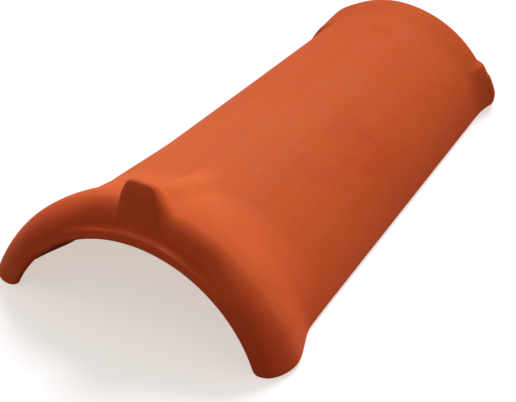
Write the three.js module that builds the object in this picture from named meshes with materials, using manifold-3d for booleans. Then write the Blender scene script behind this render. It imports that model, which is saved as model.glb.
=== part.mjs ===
// Clay ridge and hip tile: one fired piece, a tapered half-round barrel with a swollen collar.
// All sizes are in millimetres, with +Z up. The tile lies on its two long soles in the plane z = 0.
// The collar's mouth faces -Y, the narrow end faces +Y, and the origin lies midway between its ends.
// A place along the tile is its distance from the mouth. A depth is measured in from the outer
// circle, a rise out from it, and a share of the arch runs from -1 at the left sole to 1 at the right.
import * as THREE from "three";
import { mergeVertices } from "three/addons/utils/BufferGeometryUtils.js";
import Module from "manifold-3d";

// Barrel: arcs of a circle through both soles and the crown, measured on the outer skin.
const LENGTH = 400;
const MOUTH_WIDTH = 239.8;
const MOUTH_HEIGHT = 78.4;
const NARROW_WIDTH = 147.6;
const NARROW_HEIGHT = 65.5;
const WALL = 13;

// Collar: the wall swells outwards to a crest, then falls over a slanted nose to the mouth. The
// crown falls to the lip's ledge, and the legs to the mouth itself.
const COLLAR_RISE = 20;
const COLLAR_SPREAD = 12;
const RISE_SWEEP = 76.5;
const SPREAD_SWEEP = 47.3;
const CREST_SETBACK = 24;
const NOSE_DROP = 16.6;
const LEG_NOSE_DROP = 15.2;
const NOSE_FULLNESS = 1.8;

// Lip: a ledge in front of the nose, which fades out down both legs of the collar.
const LIP_LENGTH = 5.5;
const LIP_FALL = 1.2;
const LIP_THICKNESS = 8.6;
const LIP_EDGE_ROUND = 1.5;
const LEDGE_FULL = 0.25;
const LEDGE_GONE = 0.5;

// Socket: the recess behind the lip that takes the narrow end of the next tile.
const RIM_ROUND = 3;
const SOCKET_START = 14;
const SOCKET_WALL = 16.8;
const SOCKET_FLOOR_END = 25;
const SOCKET_SWEEP = 36;

// The mouth leans: its feet stand this far forward of its crown.
const MOUTH_LEAN = 3.1;
const LEAN_LENGTH = 100;
const MIDDLE = (LENGTH - MOUTH_LEAN) / 2;

// Edges rounded by hand before firing.
const COLLAR_SOLE_ROUND = 4;
const COLLAR_SOLE_INNER_ROUND = 4;
const BARREL_SOLE_ROUND = 3;
const BARREL_SOLE_INNER_ROUND = 2;
const END_ROUND = 3;
const END_INNER_ROUND = 2.5;

// The most of the wall's thickness that one rounding of the sole may take, where the wall runs out.
const SOLE_ROUND_SHARE = 0.48;

// Crown nib: the collar's own crest pulled forward and up just left of the crown, with a fuller
// nose. Behind its crest it drops to a low tail that fades into the barrel.
const NIB_OFFSET = -4;
const NIB_SETBACK = 14;
const NIB_FULLNESS = 3;
const NIB_FRONT_HALF_WIDTH = 11;
const NIB_FRONT_FLANK = 15;
const NIB_RISE = 23.5;
const NIB_HALF_WIDTH = 5;
const NIB_FLANK = 18;
const NIB_BACK = 26;
const NIB_TAIL_RISE = 8;
const NIB_TAIL_HALF_WIDTH = 1;
const NIB_TAIL_FLANK = 18;
const NIB_TAIL_FADE_START = 80;
const NIB_TAIL_END = 116;

// Narrow end: a low flare that fades out towards the crown.
const END_FLARE = 2.2;
const FLARE_LENGTH = 29;
const FLARE_TOP = 50;
const FLARE_FADE = 40;

// Lugs: pads on both flanks of the narrow end, each with a slightly thicker foot. They ramp up
// along the tile and fade out up the flank. The left one is longer and fades out higher up.
const RIGHT_LUG = { length: 20, ramp: 20, top: 30, fade: 5 };
const LEFT_LUG = { length: 34.5, ramp: 8, top: 32.5, fade: 23 };
const LUG_PROUD = 3.7;
const LUG_FOOT_LENGTH = 9;
const LUG_FOOT_RAMP = 6;
const LUG_FOOT_TOP = 21;
const LUG_FOOT_FADE = 4;
const LUG_FOOT_PROUD = 1.3;

// The flare and lugs draw in by this share close to the sole.
const TUCK_SHARE = 0.45;
const TUCK_HEIGHT = 11;

// Fineness of the mesh.
const ARCH_STEPS = 54;
const ARCH_CROWN_PITCH = 0.6;
const SOLE_ROUND_STEPS = 3;
const LIP_ROUND_STEPS = 2;
const LEDGE_STEPS = 1;
const NOSE_STEPS = 8;
const SWEEP_STEPS = 18;
const BARREL_STEPS = 4;
const END_STEPS = 10;
const END_ROUND_STEPS = 3;
const MERGE_TOLERANCE = 1e-4;

const CLAY = { color: 0xc4582c, roughness: 0.86, metalness: 0 };

const lerp = THREE.MathUtils.lerp;

// A blend from 0 to 1 that starts and ends level.
function ease(share) {
  const t = THREE.MathUtils.clamp(share, 0, 1);
  return t * t * (3 - 2 * t);
}

// Evenly spaced numbers from start to end, both included.
function span(start, end, steps) {
  return Array.from({ length: steps + 1 }, (_, i) => lerp(start, end, i / steps));
}

// What a rounded edge takes off at a distance in from that edge.
function roundLoss(round, distance) {
  const reach = THREE.MathUtils.clamp(round - distance, 0, round);
  return round - Math.sqrt(round ** 2 - reach ** 2);
}

// The outer skin's circle, with the collar and without the nose: its radius and its centre's height.
function outerCircle(along) {
  const share = along / LENGTH;
  const spread = COLLAR_SPREAD * (1 - ease((along - CREST_SETBACK) / SPREAD_SWEEP));
  const rise = COLLAR_RISE * (1 - ease((along - CREST_SETBACK) / RISE_SWEEP));
  const halfWidth = lerp(MOUTH_WIDTH, NARROW_WIDTH, share) / 2 + spread;
  const height = lerp(MOUTH_HEIGHT, NARROW_HEIGHT, share) + rise;
  const radius = (halfWidth ** 2 + height ** 2) / (2 * height);
  return { radius, centre: height - radius };
}

const LIP_DEPTH = NOSE_DROP + LIP_FALL;
const RIM_DEPTH = LIP_DEPTH + LIP_THICKNESS;

// How deep the inner skin lies: the lip's rim, the socket's recess, then the plain wall.
function innerDepth(along) {
  const wall = lerp(SOCKET_WALL, WALL, ease((along - SOCKET_FLOOR_END) / SOCKET_SWEEP));
  const depth = lerp(RIM_DEPTH, wall, ease((along - RIM_ROUND) / (SOCKET_START - RIM_ROUND)));
  return depth - roundLoss(RIM_ROUND, along) - roundLoss(END_INNER_ROUND, LENGTH - along);
}

// How far a nose has come forward from its crest, as a share.
function noseReach(turn, fullness) {
  return Math.sin(turn) ** (2 / fullness);
}

// A bell across the nib: 1 on its top, 0 past its flanks.
function bell(x, halfWidth, flank) {
  return 1 - ease((Math.abs(x - NIB_OFFSET) - halfWidth) / flank);
}

// Where the crest comes forward on the crown to make the nib's front.
function nibFront(x) {
  return bell(x, NIB_FRONT_HALF_WIDTH, NIB_FRONT_FLANK);
}

// The nib's rise at a distance behind its crest.
function nibRise(x, behind, along) {
  const back = ease(behind / NIB_BACK);
  const halfWidth = lerp(NIB_HALF_WIDTH, NIB_TAIL_HALF_WIDTH, back);
  const flank = lerp(NIB_FLANK, NIB_TAIL_FLANK, back);
  const fade = 1 - ease((along - NIB_TAIL_FADE_START) / (NIB_TAIL_END - NIB_TAIL_FADE_START));
  return lerp(NIB_RISE, NIB_TAIL_RISE, back) * fade * bell(x, halfWidth, flank);
}

// How far the narrow end stands proud of the barrel on a side: its flare, pad and foot.
function endRise(side, height, along) {
  const { length, ramp, top, fade } = side < 0 ? LEFT_LUG : RIGHT_LUG;
  const flare = END_FLARE * (1 - ease((height - FLARE_TOP) / FLARE_FADE));
  const pad = LUG_PROUD * (1 - ease((height - top) / fade));
  const foot = LUG_FOOT_PROUD * (1 - ease((height - LUG_FOOT_TOP) / LUG_FOOT_FADE));
  const rise = flare * ease((along - LENGTH + FLARE_LENGTH) / FLARE_LENGTH)
    + pad * ease((along - LENGTH + length) / ramp)
    + foot * ease((along - LENGTH + LUG_FOOT_LENGTH) / LUG_FOOT_RAMP);
  return rise * (1 - TUCK_SHARE * (1 - ease(height / TUCK_HEIGHT)));
}

// The stations of the wall cut lengthwise, from the middle of the rim over the lip, the nose, the
// collar and the barrel to the middle of the end face. Each station gives the outer skin's place
// on the legs, a function for its place on the crown, and the inner skin's depth.
function wallStations() {
  const rimMiddle = (LIP_DEPTH + RIM_DEPTH) / 2;
  const lip = [{ along: 0, depth: rimMiddle }];
  for (const turn of span(0, Math.PI / 2, LIP_ROUND_STEPS)) {
    const along = LIP_EDGE_ROUND * (1 - Math.cos(turn));
    lip.push({ along, depth: LIP_DEPTH + LIP_EDGE_ROUND * (1 - Math.sin(turn)) });
  }
  for (const share of span(0, 1, LEDGE_STEPS).slice(1)) {
    const along = lerp(LIP_EDGE_ROUND, LIP_LENGTH, share);
    lip.push({ along, depth: lerp(LIP_DEPTH, NOSE_DROP, share) });
  }
  const stations = lip.map((place, i) => {
    const share = i / (lip.length - 1);
    return {
      leg: { along: 0, depth: lerp(rimMiddle, LEG_NOSE_DROP, share) },
      crown: () => ({ along: place.along, rise: -place.depth }),
      innerDepth: lerp(rimMiddle, RIM_DEPTH - RIM_ROUND, share),
    };
  });
  for (const turn of span(Math.PI / 2, 0, NOSE_STEPS).slice(1)) {
    const reach = noseReach(turn, NOSE_FULLNESS);
    const fallen = 1 - Math.cos(turn);
    const along = CREST_SETBACK * (1 - reach);
    stations.push({
      leg: { along, depth: LEG_NOSE_DROP * fallen },
      crown: (x) => {
        const crest = lerp(CREST_SETBACK, NIB_SETBACK, nibFront(x));
        const top = nibRise(x, 0, crest);
        const crownReach = noseReach(turn, lerp(NOSE_FULLNESS, NIB_FULLNESS, nibFront(x)));
        return { along: lerp(crest, LIP_LENGTH, crownReach), rise: top - (NOSE_DROP + top) * fallen };
      },
      innerDepth: innerDepth(along),
    });
  }
  for (const share of span(0, 1, SWEEP_STEPS).slice(1)) {
    const along = lerp(CREST_SETBACK, NIB_TAIL_END, share);
    stations.push({
      leg: { along, depth: 0 },
      crown: (x) => {
        const crest = lerp(CREST_SETBACK, NIB_SETBACK, nibFront(x));
        const place = lerp(crest, NIB_TAIL_END, share);
        return { along: place, rise: nibRise(x, place - crest, place) };
      },
      innerDepth: innerDepth(along),
    });
  }
  const plain = (along, depth, inner) => {
    const crown = () => ({ along, rise: -depth });
    stations.push({ leg: { along, depth }, crown, innerDepth: inner });
  };
  const endStart = LENGTH - Math.max(FLARE_LENGTH, RIGHT_LUG.length, LEFT_LUG.length);
  const places = [
    ...span(NIB_TAIL_END, endStart, BARREL_STEPS).slice(1),
    ...span(endStart, LENGTH - END_ROUND, END_STEPS).slice(1),
  ];
  for (const along of places) {
    plain(along, 0, innerDepth(along));
  }
  for (const turn of span(0, Math.PI / 2, END_ROUND_STEPS).slice(1)) {
    const along = LENGTH - END_ROUND * (1 - Math.sin(turn));
    plain(along, END_ROUND * (1 - Math.cos(turn)), innerDepth(along));
  }
  const endMiddle = (END_ROUND + WALL - END_INNER_ROUND) / 2;
  plain(LENGTH, endMiddle, endMiddle);
  return stations;
}

// Where a rounding of the sole meets a skin: the rounding's centre, and the skin's angle from the
// crown. The outer skin's rounding is positive, the inner skin's negative.
function soleTangent(radius, centre, round) {
  const height = Math.abs(round) - centre;
  const x = Math.sqrt(Math.max((radius - round) ** 2 - height ** 2, 0));
  return { x, round, angle: Math.atan2(x, height) };
}

// The points of a sole's rounding, from the skin down to the sole.
function soleRound({ x, round, angle }, side, along) {
  const start = round < 0 ? Math.PI - angle : angle;
  return span(start, Math.PI, SOLE_ROUND_STEPS).slice(1).map((turn) =>
    new THREE.Vector3(side * (x + round * Math.sin(turn)), along, Math.abs(round) * (1 + Math.cos(turn))));
}

// One row across a skin: from the middle of the left sole over the arch to the middle of the right.
function skinRow(arch, tangents, middles, along) {
  const ends = [-1, 1].map((side, i) => [
    ...soleRound(tangents[i], side, along),
    new THREE.Vector3(side * middles[i], along, 0),
  ]);
  return [...ends[0].reverse(), ...arch, ...ends[1]];
}

// The shares of the arch where the skins have points, closer together on the crown.
const ARCH_SHARES = span(-1, 1, ARCH_STEPS).map((t) => t * lerp(ARCH_CROWN_PITCH, 1, t * t));

// The outer and inner rows at a station.
function stationRows(station) {
  const { along, depth } = station.leg;
  const { radius, centre } = outerCircle(along);
  const wall = Math.max(station.innerDepth - depth, 0);
  const pastCollar = ease((along - CREST_SETBACK) / SPREAD_SWEEP);
  const mostRound = wall * SOLE_ROUND_SHARE;
  const outerRound = Math.min(lerp(COLLAR_SOLE_ROUND, BARREL_SOLE_ROUND, pastCollar), mostRound);
  const innerRound = Math.min(lerp(COLLAR_SOLE_INNER_ROUND, BARREL_SOLE_INNER_ROUND, pastCollar), mostRound);
  const inner = soleTangent(radius - station.innerDepth, centre, -innerRound);
  const outer = [-1, 1].map((side) =>
    soleTangent(radius - depth + endRise(side, 0, along), centre, outerRound));
  const middles = outer.map((tangent) => (tangent.x + inner.x) / 2);

  const outerArch = ARCH_SHARES.map((share) => {
    const side = share < 0 ? 0 : 1;
    const angle = share * outer[side].angle;
    const ledge = 1 - ease((Math.abs(share) - LEDGE_FULL) / (LEDGE_GONE - LEDGE_FULL));
    const crown = station.crown(radius * Math.sin(angle));
    const place = lerp(along, crown.along, ledge);
    const circle = outerCircle(place);
    const skin = circle.radius + lerp(-depth, crown.rise, ledge);
    const reach = skin + endRise(share, circle.centre + skin * Math.cos(angle), place);
    return new THREE.Vector3(reach * Math.sin(angle), place, circle.centre + reach * Math.cos(angle));
  });
  const innerReach = radius - station.innerDepth;
  const innerArch = ARCH_SHARES.map((share) => {
    const angle = share * inner.angle;
    return new THREE.Vector3(innerReach * Math.sin(angle), along, centre + innerReach * Math.cos(angle));
  });

  const rows = {
    outer: skinRow(outerArch, outer, middles, along),
    inner: skinRow(innerArch, [inner, inner], middles, along),
  };
  const height = radius - depth + centre;
  for (const point of [...rows.outer, ...rows.inner]) {
    const lean = MOUTH_LEAN * (1 - ease(point.y / LEAN_LENGTH));
    point.y -= lean * (1 - point.z / height) + MIDDLE;
  }
  return rows;
}

// The triangles of a grid of points, which face up from a grid whose rows run to +Y.
function gridFaces(rows, columns, start, isFlipped) {
  const index = [];
  for (let row = 0; row < rows - 1; row += 1) {
    for (let column = 0; column < columns - 1; column += 1) {
      const a = start + row * columns + column;
      const [b, c, d] = [a + 1, a + columns + 1, a + columns];
      index.push(...(isFlipped ? [a, c, b, a, d, c] : [a, b, c, a, c, d]));
    }
  }
  return index;
}

// The tile's surface: an outer and an inner skin that share the middle of the rim, the middle of
// the end face and the middle of each sole.
function skins() {
  const rows = wallStations().map(stationRows);
  const outer = rows.map((row) => row.outer);
  const inner = rows.map((row) => row.inner);
  inner[0] = outer[0];
  inner[inner.length - 1] = outer[outer.length - 1];
  const points = [...outer.flat(), ...inner.flat()];
  const columns = outer[0].length;
  const geometry = new THREE.BufferGeometry();
  geometry.setAttribute("position", new THREE.Float32BufferAttribute(points.flatMap((p) => p.toArray()), 3));
  geometry.setIndex([
    ...gridFaces(outer.length, columns, 0, false),
    ...gridFaces(inner.length, columns, outer.flat().length, true),
  ]);
  return geometry;
}

const wasm = await Module();
wasm.setup();

// A closed geometry as a solid that can be cut. Faces that have shrunk to a line at the feet of
// the rim and the end are left out.
function solid(geometry) {
  const merged = mergeVertices(geometry, MERGE_TOLERANCE);
  const index = merged.index.array;
  const triangles = [];
  for (let i = 0; i < index.length; i += 3) {
    const [a, b, c] = index.slice(i, i + 3);
    if (a !== b && b !== c && c !== a) {
      triangles.push(a, b, c);
    }
  }
  const mesh = new wasm.Mesh({
    numProp: 3,
    vertProperties: new Float32Array(merged.attributes.position.array),
    triVerts: new Uint32Array(triangles),
  });
  return new wasm.Manifold(mesh);
}

// A solid as a geometry.
function geometryOf(body) {
  const mesh = body.getMesh();
  const geometry = new THREE.BufferGeometry();
  geometry.setAttribute("position", new THREE.Float32BufferAttribute(mesh.vertProperties, 3));
  geometry.setIndex(Array.from(mesh.triVerts));
  geometry.computeVertexNormals();
  return geometry;
}

// Everything above the plane of the soles, which are cut flat.
const reach = 2 * (LENGTH + MOUTH_WIDTH);
const aboveSoles = wasm.Manifold.cube([reach, reach, reach], true).translate([0, 0, reach / 2]);

const tile = solid(skins()).intersect(aboveSoles);

const ridgeTile = new THREE.Mesh(geometryOf(tile), new THREE.MeshStandardMaterial(CLAY));
ridgeTile.name = "ridge_tile";

const group = new THREE.Group();
group.add(ridgeTile);

export default group;
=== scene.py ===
"""Looks of the clay ridge tile: a smooth fired-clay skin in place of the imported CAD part.

The script also makes the floor, the studio light and the photo's camera. Lengths are in millimetres, and
MM turns them into Blender's metres. The part's frame has x across, y along the tile from the collar's mouth
to the narrow end, and z up from the soles. While the skins are made, y counts from the mouth at the crown.
"""
import math

import bpy
import numpy as np
from mathutils import Matrix, Vector


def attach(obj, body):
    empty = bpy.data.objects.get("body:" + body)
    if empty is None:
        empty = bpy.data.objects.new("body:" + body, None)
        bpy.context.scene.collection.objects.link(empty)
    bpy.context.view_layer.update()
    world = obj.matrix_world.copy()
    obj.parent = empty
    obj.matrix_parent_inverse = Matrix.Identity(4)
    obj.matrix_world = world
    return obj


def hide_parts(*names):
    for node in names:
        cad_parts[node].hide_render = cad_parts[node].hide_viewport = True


MM = 0.001
NODE = "ridge_tile"

# Barrel: an arc through both soles and the crown, measured on the outer skin at the mouth and at the end.
LENGTH = 400.0
MOUTH_WIDTH = 239.8
MOUTH_HEIGHT = 78.4
NARROW_WIDTH = 147.6
NARROW_HEIGHT = 65.5
WALL = 13.0

# Collar: the wall swells outwards to a crest, then falls over a slanted nose to the mouth.
COLLAR_RISE = 20.0
COLLAR_SPREAD = 11.79
RISE_SWEEP = 76.5
SPREAD_SWEEP = 47.3
CREST_SETBACK = 24.0
NOSE_DROP = 16.6
LEG_NOSE_DROP = 15.2
NOSE_FULLNESS = 1.6

# Lip: the ledge in front of the nose. It is whole, then gone, at these shares of the way from the crown to
# a sole, counted from a middle that lies a little to the right.
LIP_LENGTH = 7.5
LIP_EDGE_DEPTH = 17.8
LIP_EDGE_ROUND = 1.5
LEDGE_OFFSET = 0.06
LEDGE_FULL = 0.30
LEDGE_GONE = 0.57
RIM_DEPTH = 26.4
RIM_ROUND = 3.0

# Socket: the recess behind the lip that takes the narrow end of the next tile.
SOCKET_WALL = 16.8
SOCKET_START = 14.0
SOCKET_FLOOR_END = 25.0
SOCKET_SWEEP = 36.0

# The mouth leans: its feet stand this far forward of its crown.
MOUTH_LEAN = 3.1
LEAN_LENGTH = 100.0
MIDDLE = (LENGTH - MOUTH_LEAN) / 2.0

# Edge rounding, by hand before firing. A sole's round takes at most a share of the wall there.
COLLAR_SOLE_ROUND = 4.0
COLLAR_SOLE_INNER_ROUND = 4.0
BARREL_SOLE_ROUND = 3.0
BARREL_SOLE_INNER_ROUND = 2.0
END_ROUND = 3.0
END_INNER_ROUND = 2.5
SOLE_ROUND_SHARE = 0.48

# Crown nib: the collar's own section pulled up on the crown and brought forward. Its tail narrows to a
# ridge, which falls straight to the barrel between flanks of one slope.
NIB_OFFSET = -2.0
NIB_SETBACK = 14.0
NIB_FULLNESS = 3.0
NIB_FRONT_HALF_WIDTH = 13.0
NIB_FRONT_FLANK = 14.0
NIB_RISE = 23.5
NIB_HALF_WIDTH = 7.0
NIB_FLANK = 16.0
NIB_BACK = 26.0
NIB_TAIL_RISE = 6.5
NIB_TAIL_HALF_WIDTH = 1.0
NIB_TAIL_FLANK = 18.0
NIB_TAIL_FADE_START = 80.0
NIB_TAIL_END = 116.0

# Shoulder: the left flank runs fuller from the collar into the barrel than the right one.
SHOULDER_RISE = 3.2
SHOULDER_START = -15.0
SHOULDER_FLANK = 35.0
SHOULDER_FRONT = 48.0
SHOULDER_TOP = 84.0
SHOULDER_END = 180.0
SHOULDER_FOOT = 33.0

# Lugs: pads on both flanks at the narrow end; the left one runs further forward and higher up.
END_FLARE = 2.2
FLARE_START = 371.0
FLARE_TOP = 50.0
FLARE_FADE = 40.0
RIGHT_LUG = {"front": 380.0, "ramp": 20.0, "top": 30.0, "fade": 5.0}
LEFT_LUG = {"front": 365.5, "ramp": 8.0, "top": 32.5, "fade": 23.0}
LUG_PROUD = 3.7
LUG_FOOT_FRONT = 391.0
LUG_FOOT_RAMP = 6.0
LUG_FOOT_TOP = 21.0
LUG_FOOT_FADE = 4.0
LUG_FOOT_PROUD = 1.3
LUG_TUCK = 0.45
LUG_TUCK_HEIGHT = 11.0

# Fineness of the mesh: points across the tile, and steps along it.
COLUMNS = 201
FILLET_STEPS = 6
NOSE_STEPS = 22
SWEEP_STEPS = 48
BARREL_STEPS = 50
LUG_STEPS = 30
ROUND_STEPS = 6
LIP_ROUND_STEPS = 3
LEDGE_STEPS = 3

# Camera: its direction from the tile in degrees, its distance, how far it sees, and its target with the
# target's place and scale in the photo.
VIEW_AZIMUTH = 31.64
VIEW_ELEVATION = 34.82
VIEW_ROLL = 0.23
VIEW_DISTANCE = 4032.7
VIEW_REACH = 100000.0
VIEW_TARGET = (0.0, LENGTH / 2.0 - MIDDLE, 40.0)
VIEW_TARGET_PX = (276.9, 153.5)
VIEW_PIXELS_PER_MM = 1.3157
IMAGE_SIZE = (516, 402)
SENSOR = 36.0

# Clay's colours, linear.
CLAY_DEEP = (0.58, 0.073, 0.0115, 1.0)
CLAY_WARM = (0.62, 0.090, 0.0140, 1.0)
CLAY_PALE = (0.70, 0.134, 0.0270, 1.0)
CLAY_SMOKE = (0.36, 0.036, 0.0078, 1.0)
CLAY_SPECK = (0.72, 0.225, 0.0980, 1.0)
# The next colour is painted shade: a deeper, darker red laid on the shaded nose at the mouth and low down
# towards the soles.
CLAY_PAINTED_SHADE = (0.57, 0.052, 0.0120, 1.0)
# The next colour is painted light: paler, yellower clay laid on the lit left shoulder of the crown and on the
# face of the left foot.
CLAY_PAINTED_LIGHT = (0.86, 0.215, 0.0600, 1.0)
# The next colour is a painted highlight: a pale red band laid along the lip's ledge, where light falls on it.
CLAY_PAINTED_LEDGE_LIGHT = (0.88, 0.145, 0.0500, 1.0)

# Clay's noises, with their scale per metre, the range of each that counts, and how far it tints the clay.
PATCHES = {"scale": 9.0, "detail": 3.0}
PATCHES_RANGE = (0.35, 0.65)
MOTTLE = {"scale": 42.0, "detail": 6.0, "roughness": 0.6}
MOTTLE_RANGE = (0.35, 0.65)
MOTTLE_SHARE = 0.35
STREAKS = {"scale": 55.0, "detail": 4.0, "roughness": 0.6, "stretch": (1.0, 0.07, 1.0)}
STREAKS_RANGE = (0.40, 0.62)
STREAKS_SHARE = 0.16
SMUDGES = {"scale": 21.0, "detail": 8.0, "roughness": 0.65}
SMUDGES_RANGE = (0.56, 0.74)
SMUDGES_SHARE = 0.18
GRAIN = {"scale": 950.0, "detail": 3.0, "roughness": 0.7}
GRAIN_RANGE = (0.38, 0.62)
GRAIN_SHARE = 0.12
WAVES = {"scale": 30.0, "detail": 3.0, "roughness": 0.5, "stretch": (1.0, 0.35, 1.0)}

# Specks and pits: round spots in a few of the cells of a pattern, with their soft edge in cell sizes.
SPOT_SCALE = 170.0
SPOT_EDGE = (0.16, 0.08)
SPECKS_ABOVE = 0.86
SPECKS_SHARE = 0.22
PITS_BELOW = 0.18

# Surface: how rough and glossy the clay is, and the strength and height of its relief.
CLAY_ROUGHNESS = (0.70, 0.86)
CLAY_SPECULAR = 0.15
GRAIN_RELIEF = {"Strength": 0.5, "Distance": 0.4 * MM}
WAVES_RELIEF = {"Strength": 0.6, "Distance": 1.2 * MM}

# Places where painted shade or painted light is laid on the clay, in the part's frame: where each one starts,
# is full, starts to go and is gone, along each axis that bounds it. CLAY_PLACES has their colours and shares
# of them.
# Painted shade: the nose at the mouth, and the tile low down towards the soles, deeper red.
PAINTED_SHADE_MOUTH = {"Y": (-230.0, -220.0, -192.0, -172.0)}
PAINTED_SHADE_SOLES = {"Z": (-20.0, -10.0, 10.0, 60.0)}
# Painted light: the crown's left shoulder behind the collar, where the key lamp falls, paler.
PAINTED_LIGHT_CROWN = {
    "X": (-110.0, -55.0, 0.0, 50.0),
    "Y": (-200.0, -110.0, -40.0, 150.0),
    "Z": (30.0, 55.0, 130.0, 140.0),
}
# Painted light: the face of the left foot, paler.
PAINTED_LIGHT_LEFT_FOOT = {
    "X": (-150.0, -140.0, -112.0, -92.0),
    "Y": (-215.0, -210.0, -175.0, -160.0),
}
# Painted highlight: a band along the lip's ledge.
PAINTED_LIGHT_LEDGE = {
    "X": (-30.0, -8.0, 24.0, 50.0),
    "Y": (-197.8, -196.8, -194.6, -191.4),
    "Z": (60.0, 70.0, 95.0, 100.0),
}
CLAY_PLACES = (
    (CLAY_PAINTED_SHADE, ((0.50, PAINTED_SHADE_MOUTH), (0.30, PAINTED_SHADE_SOLES))),
    (CLAY_PAINTED_LIGHT, ((0.24, PAINTED_LIGHT_CROWN), (0.22, PAINTED_LIGHT_LEFT_FOOT))),
    (CLAY_PAINTED_LEDGE_LIGHT, ((0.80, PAINTED_LIGHT_LEDGE),)),
)

# Studio, as linear colours. A lamp has a name, the direction that it lies in, and its level, which is what it
# gives a white surface that faces it.
FLOOR_HALF_SIZE = 20000.0
FLOOR_COLOUR = (0.20, 0.17, 0.15, 1.0)
FLOOR_SEEN_COLOUR = (0.50, 0.56, 0.62, 1.0)
SHADOW_COLOUR = (0.61, 0.55, 0.50, 1.0)
SKY_COLOUR = (0.38, 0.38, 0.38, 1.0)
SKY_SEEN_COLOUR = (1.0, 1.0, 1.0, 1.0)
LAMPS = (
    ("key", (-0.15, 0.70, 0.68), 0.76),
    ("left", (-0.90, -0.25, 0.15), 0.09),
    ("right", (0.80, 0.60, 0.10), 0.18),
)
LAMP_ANGLE = 24.0


def ease(share):
    """A blend from 0 to 1 that starts and ends level."""
    t = np.clip(share, 0.0, 1.0)
    return t * t * (3.0 - 2.0 * t)


def lerp(start, end, share):
    """The value at a share of the way from start to end."""
    return start + (end - start) * share


def outer_arc(along):
    """The outer skin's circle, collar included, without the nose: its radius and its centre's height."""
    share = along / LENGTH
    spread = COLLAR_SPREAD * (1.0 - ease((along - CREST_SETBACK) / SPREAD_SWEEP))
    rise = COLLAR_RISE * (1.0 - ease((along - CREST_SETBACK) / RISE_SWEEP))
    half_width = lerp(MOUTH_WIDTH, NARROW_WIDTH, share) / 2.0 + spread
    height = lerp(MOUTH_HEIGHT, NARROW_HEIGHT, share) + rise
    radius = (half_width ** 2 + height ** 2) / (2.0 * height)
    return radius, height - radius


def inner_depth(along):
    """How deep the inner skin lies under the outer circle: rim, socket recess, then the plain wall."""
    wall = lerp(SOCKET_WALL, WALL, ease((along - SOCKET_FLOOR_END) / SOCKET_SWEEP))
    depth = lerp(RIM_DEPTH, wall, ease((along - RIM_ROUND) / (SOCKET_START - RIM_ROUND)))
    rim = np.clip(RIM_ROUND - along, 0.0, RIM_ROUND)
    depth = depth - (RIM_ROUND - math.sqrt(RIM_ROUND ** 2 - rim ** 2))
    end = np.clip(along - (LENGTH - END_INNER_ROUND), 0.0, END_INNER_ROUND)
    return depth - (END_INNER_ROUND - math.sqrt(END_INNER_ROUND ** 2 - end ** 2))


def quarter_turn(steps):
    """The angles of a quarter turn, from 0 in equal steps."""
    return [math.pi / 2.0 * i / steps for i in range(steps + 1)]


def nose_reach(turn, fullness):
    """How far the nose has come forward from the crest towards the mouth, as a share."""
    return math.sin(turn) ** (2.0 / fullness)


class Station:
    """A step along the wall's section, at which both skins have a row of points.

    The outer skin has one place on the crown and one on the legs, each a length along the tile and a depth
    under the outer circle. The inner skin has one depth. On nose and lip, turn says how far the section has
    turned, from level on the crest to upright at the mouth.
    """

    def __init__(self, crown, leg, inner, turn=0.0, on_lip=False):
        self.crown_along, self.crown_depth = crown
        self.leg_along, self.leg_depth = leg
        self.inner_depth = inner
        self.turn = turn
        self.on_lip = on_lip


def lip_stations():
    """Stations from the middle of the rim face, over the lip's edge and ledge, to the foot of the nose."""
    rim_middle = (LIP_EDGE_DEPTH + RIM_DEPTH) / 2.0
    places = [(0.0, rim_middle)]
    for turn in quarter_turn(LIP_ROUND_STEPS):
        along = LIP_EDGE_ROUND * (1.0 - math.cos(turn))
        places.append((along, LIP_EDGE_DEPTH + LIP_EDGE_ROUND * (1.0 - math.sin(turn))))
    for step in range(1, LEDGE_STEPS + 1):
        share = step / LEDGE_STEPS
        along = lerp(LIP_EDGE_ROUND, LIP_LENGTH, share)
        places.append((along, lerp(LIP_EDGE_DEPTH, NOSE_DROP, share)))
    stations = []
    for i, place in enumerate(places):
        share = i / (len(places) - 1)
        leg = (0.0, lerp(rim_middle, LEG_NOSE_DROP, share))
        inner = lerp(rim_middle, RIM_DEPTH - RIM_ROUND, share)
        stations.append(Station(place, leg, inner, math.pi / 2.0, on_lip=True))
    return stations


def nose_stations():
    """Stations from the foot of the nose, which the lip has already, up to its crest."""
    stations = []
    for turn in reversed(quarter_turn(NOSE_STEPS)[:-1]):
        back = 1.0 - nose_reach(turn, NOSE_FULLNESS)
        fallen = 1.0 - math.cos(turn)
        crown = (lerp(LIP_LENGTH, CREST_SETBACK, back), NOSE_DROP * fallen)
        leg = (CREST_SETBACK * back, LEG_NOSE_DROP * fallen)
        stations.append(Station(crown, leg, inner_depth(CREST_SETBACK * back), turn))
    return stations


def barrel_stations():
    """Stations from behind the crest, over collar, barrel, lugs and end round, to the end face's middle."""
    lug_start = min(FLARE_START, RIGHT_LUG["front"], LEFT_LUG["front"])
    stretches = (
        (CREST_SETBACK, NIB_TAIL_END, SWEEP_STEPS),
        (NIB_TAIL_END, lug_start, BARREL_STEPS),
        (lug_start, LENGTH - END_ROUND, LUG_STEPS),
    )
    places = []
    for start, end, steps in stretches:
        places += [(lerp(start, end, i / steps), 0.0) for i in range(1, steps + 1)]
    for turn in quarter_turn(ROUND_STEPS)[1:]:
        along = LENGTH - END_ROUND * (1.0 - math.sin(turn))
        places.append((along, END_ROUND * (1.0 - math.cos(turn))))
    stations = [Station(place, place, inner_depth(place[0])) for place in places]
    end_middle = (END_ROUND + WALL - END_INNER_ROUND) / 2.0
    stations.append(Station((LENGTH, end_middle), (LENGTH, end_middle), end_middle))
    return stations


def bell(x, half_width, flank):
    """A bell across the crown: 1 on its flat top, 0 past its flanks."""
    return 1.0 - ease((np.abs(x - NIB_OFFSET) - half_width) / flank)


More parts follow.
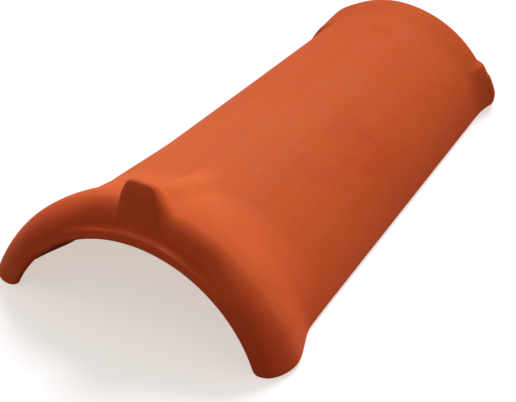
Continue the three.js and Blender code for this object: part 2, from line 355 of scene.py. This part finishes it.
def nib_front(x):
    """How far the nib brings the nose forward: 1 on the nib, 0 beside it."""
    return bell(x, NIB_FRONT_HALF_WIDTH, NIB_FRONT_FLANK)


def nib_rise(x, behind, along):
    """Rise of the nib, which drops behind its crest to a low tail that fades into the barrel."""
    back = ease(behind / NIB_BACK)
    half_width = lerp(NIB_HALF_WIDTH, NIB_TAIL_HALF_WIDTH, back)
    flank = lerp(NIB_FLANK, NIB_TAIL_FLANK, back)
    fade = 1.0 - ease((along - NIB_TAIL_FADE_START) / (NIB_TAIL_END - NIB_TAIL_FADE_START))
    return lerp(NIB_RISE, NIB_TAIL_RISE, back) * fade * bell(x, half_width, flank)


def shoulder_rise(x, z, along):
    """How much fuller the left flank is behind the collar."""
    swell = ease((along - SHOULDER_FRONT) / (SHOULDER_TOP - SHOULDER_FRONT))
    swell = swell * (1.0 - ease((along - SHOULDER_TOP) / (SHOULDER_END - SHOULDER_TOP)))
    return SHOULDER_RISE * swell * ease((SHOULDER_START - x) / SHOULDER_FLANK) * ease(z / SHOULDER_FOOT)


def lug_rise(x, z, along):
    """How far the narrow end stands proud of the barrel: a low flare, and a lug on each flank."""
    height = np.maximum(z, 0.0)
    flare = END_FLARE * (1.0 - ease((height - FLARE_TOP) / FLARE_FADE))
    foot = LUG_FOOT_PROUD * (1.0 - ease((height - LUG_FOOT_TOP) / LUG_FOOT_FADE))
    total = flare * ease((along - FLARE_START) / (LENGTH - FLARE_START))
    total = total + foot * ease((along - LUG_FOOT_FRONT) / LUG_FOOT_RAMP)
    for side, lug in ((1, RIGHT_LUG), (-1, LEFT_LUG)):
        pad = LUG_PROUD * (1.0 - ease((height - lug["top"]) / lug["fade"]))
        total = total + np.where(np.sign(x) == side, pad * ease((along - lug["front"]) / lug["ramp"]), 0.0)
    return total * (1.0 - LUG_TUCK * (1.0 - ease(height / LUG_TUCK_HEIGHT)))


def sole_tangent(radius, centre, fillet):
    """Where a sole's round meets a skin: the round's x, and the angle from the crown.

    An inner round is negative.
    """
    x = math.sqrt(max((radius - fillet) ** 2 - (abs(fillet) - centre) ** 2, 0.0))
    return x, math.atan2(x, abs(fillet) - centre)


def sole_rounds(along, wall):
    """The rounds of a sole's outer and inner edge, which shrink with the wall at the mouth and the end."""
    past_collar = ease((along - CREST_SETBACK) / SPREAD_SWEEP)
    most = SOLE_ROUND_SHARE * wall
    outer = min(lerp(COLLAR_SOLE_ROUND, BARREL_SOLE_ROUND, past_collar), most)
    inner = min(lerp(COLLAR_SOLE_INNER_ROUND, BARREL_SOLE_INNER_ROUND, past_collar), most)
    return outer, inner


def skin_row(arc_points, ends, along):
    """One row of a skin, from sole middle to sole middle: the left round, the arc, and the right round."""
    corners = []
    for side, (fillet_x, fillet, start, middle) in zip((-1, 1), ends):
        angles = np.linspace(start, math.pi, FILLET_STEPS)[1:]
        sign = 1.0 if fillet > 0.0 else -1.0
        x = side * (fillet_x + sign * abs(fillet) * np.sin(angles))
        z = abs(fillet) * (1.0 + np.cos(angles))
        corner = [np.append(x, side * middle), np.full(FILLET_STEPS, along), np.append(z, 0.0)]
        corners.append(np.stack(corner, -1))
    return np.concatenate([corners[0][::-1], arc_points, corners[1]])


def outer_places(station, x, ledge):
    """Where the outer skin lies on each column: its place along the tile, and its offset from the circle."""
    crest = lerp(CREST_SETBACK, NIB_SETBACK, nib_front(x))
    y = np.full(COLUMNS, station.leg_along)
    offset = np.full(COLUMNS, -station.leg_depth)
    if station.turn > 0.0:
        crown_along, crown_offset = station.crown_along, -station.crown_depth
        if not station.on_lip:
            full = nib_rise(x, 0.0, crest)
            fullness = lerp(NOSE_FULLNESS, NIB_FULLNESS, nib_front(x))
            crown_along = lerp(crest, LIP_LENGTH, nose_reach(station.turn, fullness))
            crown_offset = full - (NOSE_DROP + full) * (1.0 - math.cos(station.turn))
        y, offset = lerp(y, crown_along, ledge), lerp(offset, crown_offset, ledge)
    elif station.crown_along < NIB_TAIL_END:
        share = (station.crown_along - CREST_SETBACK) / (NIB_TAIL_END - CREST_SETBACK)
        y = lerp(crest, NIB_TAIL_END, share)
        offset = offset + nib_rise(x, y - crest, y)
    return y, offset


def outer_points(angle, y, offset):
    """The outer skin's points, with flare, lugs and shoulder raised off the arc."""
    radius, centre = outer_arc(y)
    skin = radius + offset
    x, z = skin * np.sin(angle), centre + skin * np.cos(angle)
    skin = skin + lug_rise(x, z, y) + shoulder_rise(x, z, y)
    return np.stack([skin * np.sin(angle), y, centre + skin * np.cos(angle)], -1)


def inner_points(angle, radius, centre, along):
    """The inner skin's points, a plain arc."""
    return np.stack([radius * np.sin(angle), np.full(COLUMNS, along), centre + radius * np.cos(angle)], -1)


def lean(row, foot_height):
    """Moves a row forward at its feet, and less the further it is from the mouth."""
    row[:, 1] -= MOUTH_LEAN * (1.0 - ease(row[:, 1] / LEAN_LENGTH)) * (1.0 - row[:, 2] / foot_height)


def tile_skins():
    """The outer and inner skins as grids of points, stations by columns."""
    across = np.linspace(-1.0, 1.0, COLUMNS)
    ledge = 1.0 - ease((np.abs(across - LEDGE_OFFSET) - LEDGE_FULL) / (LEDGE_GONE - LEDGE_FULL))
    outer, inner = [], []
    for station in lip_stations() + nose_stations() + barrel_stations():
        along = station.leg_along
        radius, centre = outer_arc(along)
        outer_radius = radius - station.leg_depth
        inner_radius = radius - station.inner_depth
        outer_round, inner_round = sole_rounds(along, max(outer_radius - inner_radius, 0.0))

        feet = [outer_radius + float(lug_rise(side, 0.0, along)) for side in (-1.0, 1.0)]
        tangents = [sole_tangent(foot, centre, outer_round) for foot in feet]
        inner_x, inner_angle = sole_tangent(inner_radius, centre, -inner_round)
        middles = [(outer_x + inner_x) / 2.0 for outer_x, _ in tangents]
        outer_ends = [(x, outer_round, start, middle) for (x, start), middle in zip(tangents, middles)]
        inner_ends = [(inner_x, -inner_round, math.pi - inner_angle, middle) for middle in middles]

        angle = np.where(across < 0.0, across * tangents[0][1], across * tangents[1][1])
        y, offset = outer_places(station, radius * np.sin(angle), ledge)
        inner_arc = inner_points(across * inner_angle, inner_radius, centre, along)
        outer.append(skin_row(outer_points(angle, y, offset), outer_ends, along))
        inner.append(skin_row(inner_arc, inner_ends, along))
        for row in (outer[-1], inner[-1]):
            lean(row, outer_radius + centre)
    return np.array(outer), np.array(inner)


def tile_mesh():
    """Both skins as one closed mesh: they share the rim face, the end face and the middle of each sole."""
    outer, inner = tile_skins()
    rows, columns, _ = outer.shape
    count = rows * columns
    points = np.concatenate([outer.reshape(-1, 3), inner.reshape(-1, 3)])
    points[:, 1] -= MIDDLE

    grid = np.arange(count).reshape(rows, columns)
    corners = [grid[:-1, :-1], grid[:-1, 1:], grid[1:, 1:], grid[1:, :-1]]
    outer_faces = np.stack(corners, -1).reshape(-1, 4)
    inner_faces = outer_faces[:, ::-1] + count
    border = np.ones((rows, columns), bool)
    border[1:-1, 1:-1] = False
    shared = np.arange(2 * count)
    shared[grid[border] + count] = grid[border]
    faces = shared[np.concatenate([outer_faces, inner_faces])]
    used, faces = np.unique(faces, return_inverse=True)
    return points[used], faces.reshape(-1, 4)


def add_object(name, data):
    """A new object in the scene."""
    added = bpy.data.objects.new(name, data)
    bpy.context.scene.collection.objects.link(added)
    return added


def make_tile(material):
    """The tile as one smooth-shaded piece."""
    points, faces = tile_mesh()
    mesh = bpy.data.meshes.new("clay_tile")
    mesh.from_pydata((points * MM).tolist(), [], faces.tolist())
    mesh.polygons.foreach_set("use_smooth", [True] * len(mesh.polygons))
    mesh.materials.append(material)
    mesh.validate()
    mesh.update()
    return add_object("clay_tile", mesh)


def feed(tree, socket, value):
    """Gives a socket another node's output, or a constant."""
    if isinstance(value, bpy.types.NodeSocket):
        tree.links.new(value, socket)
    else:
        socket.default_value = value


def add_node(tree, kind, settings=None, **inputs):
    """A node with its settings and inputs, which are named with _ for a space."""
    node = tree.nodes.new(kind)
    for name, value in (settings or {}).items():
        setattr(node, name, value)
    for name, value in inputs.items():
        feed(tree, node.inputs[name.replace("_", " ")], value)
    return node


def noise(tree, place, scale, detail, roughness=0.5, stretch=None):
    """Noise between 0 and 1, stretched along the axes where stretch says so."""
    if stretch:
        place = add_node(tree, "ShaderNodeMapping", Vector=place, Scale=stretch).outputs["Vector"]
    inputs = {"Scale": scale, "Detail": detail, "Roughness": roughness, "Vector": place}
    return add_node(tree, "ShaderNodeTexNoise", **inputs).outputs["Fac"]


def between(tree, value, low, high, start=0.0, end=1.0):
    """The value taken from the range low to high to the range start to end, smoothed and clamped."""
    smooth = {"interpolation_type": "SMOOTHSTEP"}
    inputs = {"Value": value, "From_Min": low, "From_Max": high, "To_Min": start, "To_Max": end}
    return add_node(tree, "ShaderNodeMapRange", smooth, **inputs).outputs["Result"]


def blend(tree, share, first, second):
    """Two colours mixed by a share."""
    settings = {"data_type": "RGBA", "blend_type": "MIX"}
    return add_node(tree, "ShaderNodeMix", settings, Factor=share, A=first, B=second).outputs["Result"]


def calculate(tree, operation, first, second):
    """One Math node on two values, each a number or another node's output."""
    node = add_node(tree, "ShaderNodeMath", {"operation": operation})
    for socket, value in zip(node.inputs, (first, second)):
        feed(tree, socket, value)
    return node.outputs["Value"]


def zones(tree, place, boxes):
    """The summed share of soft-edged boxes, at most 1."""
    axes = add_node(tree, "ShaderNodeSeparateXYZ", Vector=place).outputs
    total = 0.0
    for share, limits in boxes:
        for axis, (start, full, going, gone) in limits.items():
            rise = between(tree, axes[axis], start * MM, full * MM)
            fall = between(tree, axes[axis], going * MM, gone * MM, 1.0, 0.0)
            share = calculate(tree, "MULTIPLY", share, calculate(tree, "MULTIPLY", rise, fall))
        total = calculate(tree, "ADD", total, share)
    return calculate(tree, "MINIMUM", total, 1.0)


def clay_spots(tree, place):
    """The shares of pale specks and of pits, in different cells of one pattern."""
    cells = add_node(tree, "ShaderNodeTexVoronoi", Vector=place, Scale=SPOT_SCALE)
    chosen = add_node(tree, "ShaderNodeSeparateColor", Color=cells.outputs["Color"]).outputs["Red"]
    spot = between(tree, cells.outputs["Distance"], *SPOT_EDGE)
    speck = calculate(tree, "MULTIPLY", spot, calculate(tree, "GREATER_THAN", chosen, SPECKS_ABOVE))
    pit = calculate(tree, "MULTIPLY", spot, calculate(tree, "LESS_THAN", chosen, PITS_BELOW))
    return speck, pit


def clay_colour(tree, place, mottle, grain, speck):
    """Fired clay's colour: soft patches and streaks, smoke, places of painted shade and painted light, and
    pale specks.
    """
    patches = between(tree, noise(tree, place, **PATCHES), *PATCHES_RANGE)
    streaks = between(tree, noise(tree, place, **STREAKS), *STREAKS_RANGE)
    smudges = between(tree, noise(tree, place, **SMUDGES), *SMUDGES_RANGE)
    whole = (0.0, 1.0)
    tints = (
        (mottle, whole, MOTTLE_SHARE, CLAY_PALE),
        (streaks, whole, STREAKS_SHARE, CLAY_PALE),
        (smudges, whole, SMUDGES_SHARE, CLAY_SMOKE),
        (grain, GRAIN_RANGE, GRAIN_SHARE, CLAY_SMOKE),
    )
    colour = blend(tree, patches, CLAY_DEEP, CLAY_WARM)
    for value, limits, most, tint in tints:
        colour = blend(tree, between(tree, value, *limits, 0.0, most), colour, tint)
    # Painted shade and painted light, each laid in its soft boxes.
    for tint, boxes in CLAY_PLACES:
        colour = blend(tree, zones(tree, place, boxes), colour, tint)
    return blend(tree, between(tree, speck, *whole, 0.0, SPECKS_SHARE), colour, CLAY_SPECK)


def clay_relief(tree, place, grain, pit):
    """The normal of fine grain and pits on slow waves."""
    height = calculate(tree, "SUBTRACT", grain, pit)
    fine = add_node(tree, "ShaderNodeBump", Height=height, **GRAIN_RELIEF).outputs["Normal"]
    waves = noise(tree, place, **WAVES)
    return add_node(tree, "ShaderNodeBump", Height=waves, Normal=fine, **WAVES_RELIEF).outputs["Normal"]


def clay_material():
    """Unglazed fired clay, matt and a little uneven."""
    material = bpy.data.materials.new("clay")
    material.use_nodes = True
    tree = material.node_tree
    place = add_node(tree, "ShaderNodeTexCoord").outputs["Object"]
    mottle = between(tree, noise(tree, place, **MOTTLE), *MOTTLE_RANGE)
    grain = noise(tree, place, **GRAIN)
    speck, pit = clay_spots(tree, place)

    shader = tree.nodes["Principled BSDF"].inputs
    feed(tree, shader["Base Color"], clay_colour(tree, place, mottle, grain, speck))
    feed(tree, shader["Roughness"], between(tree, mottle, 0.0, 1.0, *CLAY_ROUGHNESS))
    feed(tree, shader["Specular IOR Level"], CLAY_SPECULAR)
    feed(tree, shader["Normal"], clay_relief(tree, place, grain, pit))
    return material


def seen_directly(tree):
    """1 for the rays that show the background: the camera's, and those mirrored or let through."""
    path = add_node(tree, "ShaderNodeLightPath")
    seen = path.outputs["Is Camera Ray"]
    for name in ("Is Glossy Ray", "Is Transmission Ray"):
        seen = calculate(tree, "MAXIMUM", seen, path.outputs[name])
    return seen


def floor_material():
    """White to the camera in the light, and warm grey in the tile's shadow."""
    material = bpy.data.materials.new("floor")
    material.use_nodes = True
    tree = material.node_tree
    seen = seen_directly(tree)
    shader = tree.nodes["Principled BSDF"].inputs
    feed(tree, shader["Base Color"], blend(tree, seen, FLOOR_COLOUR, FLOOR_SEEN_COLOUR))
    feed(tree, shader["Roughness"], 1.0)
    feed(tree, shader["Specular IOR Level"], 0.0)
    feed(tree, shader["Emission Color"], SHADOW_COLOUR)
    feed(tree, shader["Emission Strength"], seen)
    return material


def studio_floor():
    """A plain floor, large enough to fill every view."""
    half = FLOOR_HALF_SIZE * MM
    corners = [(-half, -half, 0.0), (half, -half, 0.0), (half, half, 0.0), (-half, half, 0.0)]
    mesh = bpy.data.meshes.new("floor")
    mesh.from_pydata(corners, [], [(0, 1, 2, 3)])
    mesh.materials.append(floor_material())
    floor = add_object("floor", mesh)


def studio_light():
    """An even sky that shows white, a soft key lamp from behind, and a weak one from either side."""
    world = bpy.data.worlds.new("studio")
    bpy.context.scene.world = world
    world.use_nodes = True
    tree = world.node_tree
    colour = blend(tree, seen_directly(tree), SKY_COLOUR, SKY_SEEN_COLOUR)
    feed(tree, tree.nodes["Background"].inputs["Color"], colour)
    for name, direction, level in LAMPS:
        lamp = bpy.data.lights.new(name, "SUN")
        lamp.energy = level * math.pi
        lamp.angle = math.radians(LAMP_ANGLE)
        add_object(name, lamp).rotation_euler = Vector(direction).to_track_quat("Z", "Y").to_euler()


def photo_camera():
    """The photo's camera. It has no shift, so it steps aside to put the target at its place in the frame."""
    azimuth, elevation, roll = (math.radians(a) for a in (VIEW_AZIMUTH, VIEW_ELEVATION, VIEW_ROLL))
    level = math.cos(elevation)
    back = Vector((math.sin(azimuth) * level, -math.cos(azimuth) * level, math.sin(elevation)))
    right = Vector((math.cos(azimuth), math.sin(azimuth), 0.0))
    up = back.cross(right)
    right, up = right * math.cos(roll) + up * math.sin(roll), up * math.cos(roll) - right * math.sin(roll)
    step_right = (IMAGE_SIZE[0] / 2.0 - VIEW_TARGET_PX[0]) / VIEW_PIXELS_PER_MM
    step_up = (VIEW_TARGET_PX[1] - IMAGE_SIZE[1] / 2.0) / VIEW_PIXELS_PER_MM
    target = Vector(VIEW_TARGET) + right * step_right + up * step_up
    place = (target + back * VIEW_DISTANCE) * MM
    data = bpy.data.cameras.new("photo_camera")
    data.sensor_width = SENSOR
    data.lens = VIEW_PIXELS_PER_MM * VIEW_DISTANCE * SENSOR / IMAGE_SIZE[0]
    data.clip_end = VIEW_REACH * MM
    camera = add_object("photo_camera", data)
    rotation = Matrix((right, up, back)).transposed().to_4x4()
    camera.matrix_world = Matrix.Translation(place) @ rotation
    bpy.context.scene.camera = camera


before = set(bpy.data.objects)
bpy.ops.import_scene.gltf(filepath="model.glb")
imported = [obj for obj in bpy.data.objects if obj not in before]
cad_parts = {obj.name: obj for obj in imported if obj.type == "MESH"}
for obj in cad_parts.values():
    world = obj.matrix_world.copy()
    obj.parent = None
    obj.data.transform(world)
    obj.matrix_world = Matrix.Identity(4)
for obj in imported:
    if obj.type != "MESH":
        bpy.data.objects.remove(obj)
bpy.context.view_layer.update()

photo_camera()
studio_floor()
studio_light()

tile = make_tile(clay_material())
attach(tile, "root")
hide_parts(NODE)

bpy.context.scene.view_settings.view_transform = "Standard"
